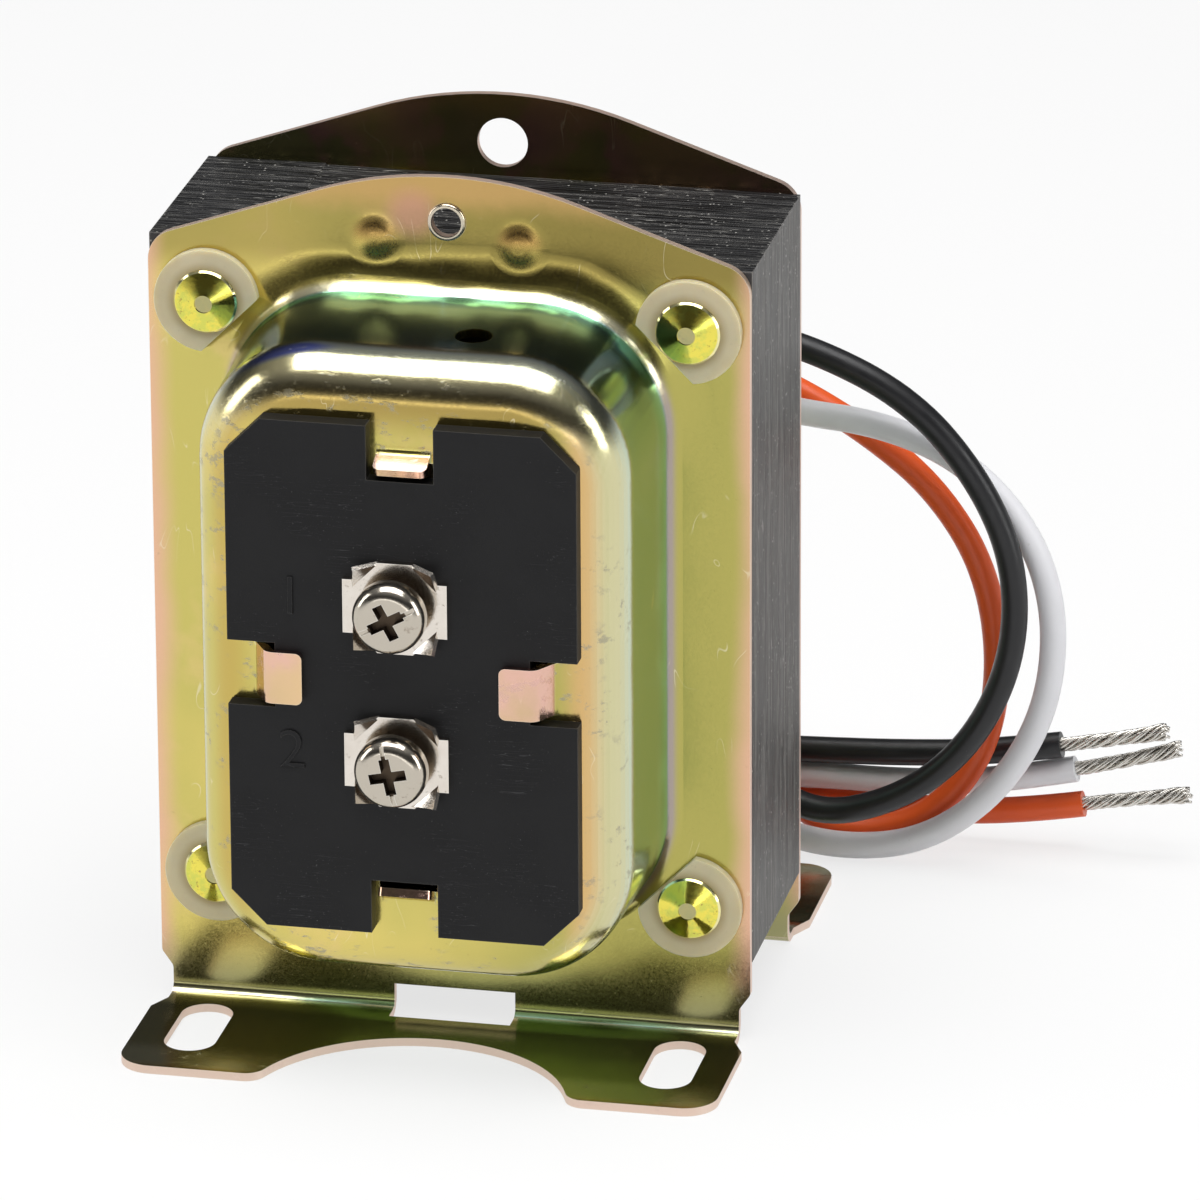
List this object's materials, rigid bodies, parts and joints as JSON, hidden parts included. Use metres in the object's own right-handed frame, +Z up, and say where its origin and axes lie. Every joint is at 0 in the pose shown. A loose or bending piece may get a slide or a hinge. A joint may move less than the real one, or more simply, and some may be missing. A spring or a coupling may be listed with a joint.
{
  "type": "laminated chassis transformer",
  "caption": "Foot-mounted laminated transformer: varnished core between drawn steel end bells, screw terminals on a board in front, insulated leads behind.",
  "frame": {"origin": "middle of the box of the transformer without its free leads, on the underside of its feet", "axes": "+Z up along the laminations; -Y to the terminal board; +Y to the leads; X across the feet"},
  "size_m": [0.1007, 0.0911, 0.0938],
  "materials": {
    "lamination_varnish": "black varnished edge-on steel sheets",
    "chromated_steel": "yellow zinc chromate with an iridescent sheen",
    "board_plastic": "black moulded thermoset, lightly scuffed",
    "nickel": "bright nickel plate",
    "rivet_steel": "bright yellow zinc plate",
    "nylon": "natural nylon, slightly see-through",
    "bobbin_nylon": "natural nylon",
    "copper": "enamelled copper wire",
    "coil_tape": "yellow polyester tape",
    "liner_card": "grey insulating card",
    "black_insulation": "satin vinyl",
    "white_insulation": "satin vinyl",
    "orange_insulation": "satin vinyl",
    "tinned_copper": "twisted tinned strands",
    "wire_sleeve": "sleeved coil wire"
  },
  "bodies": {
    "root": {"core_e_laminations": "lamination_varnish", "core_i_laminations": "lamination_varnish", "bobbin": "bobbin_nylon", "primary_winding": "copper", "secondary_winding": "copper", "primary_tape": "coil_tape", "secondary_tape": "coil_tape", "front_coil_liner": "liner_card", "rear_coil_liner": "liner_card", "front_bell": "chromated_steel", "rear_bell": "chromated_steel", "terminal_board": "board_plastic", "upper_terminal_plate": "nickel", "lower_terminal_plate": "nickel", "upper_terminal_screw": "nickel", "lower_terminal_screw": "nickel", "core_rivets": "rivet_steel", "front_rivet_washers": "nylon", "rear_rivet_washers": "nylon", "lead_bushing": "nylon", "upper_terminal_wire": "wire_sleeve", "lower_terminal_wire": "wire_sleeve", "black_lead": "black_insulation", "white_lead": "white_insulation", "orange_lead": "orange_insulation", "black_lead_strands": "tinned_copper", "white_lead_strands": "tinned_copper", "orange_lead_strands": "tinned_copper"}
  },
  "joints": []
}
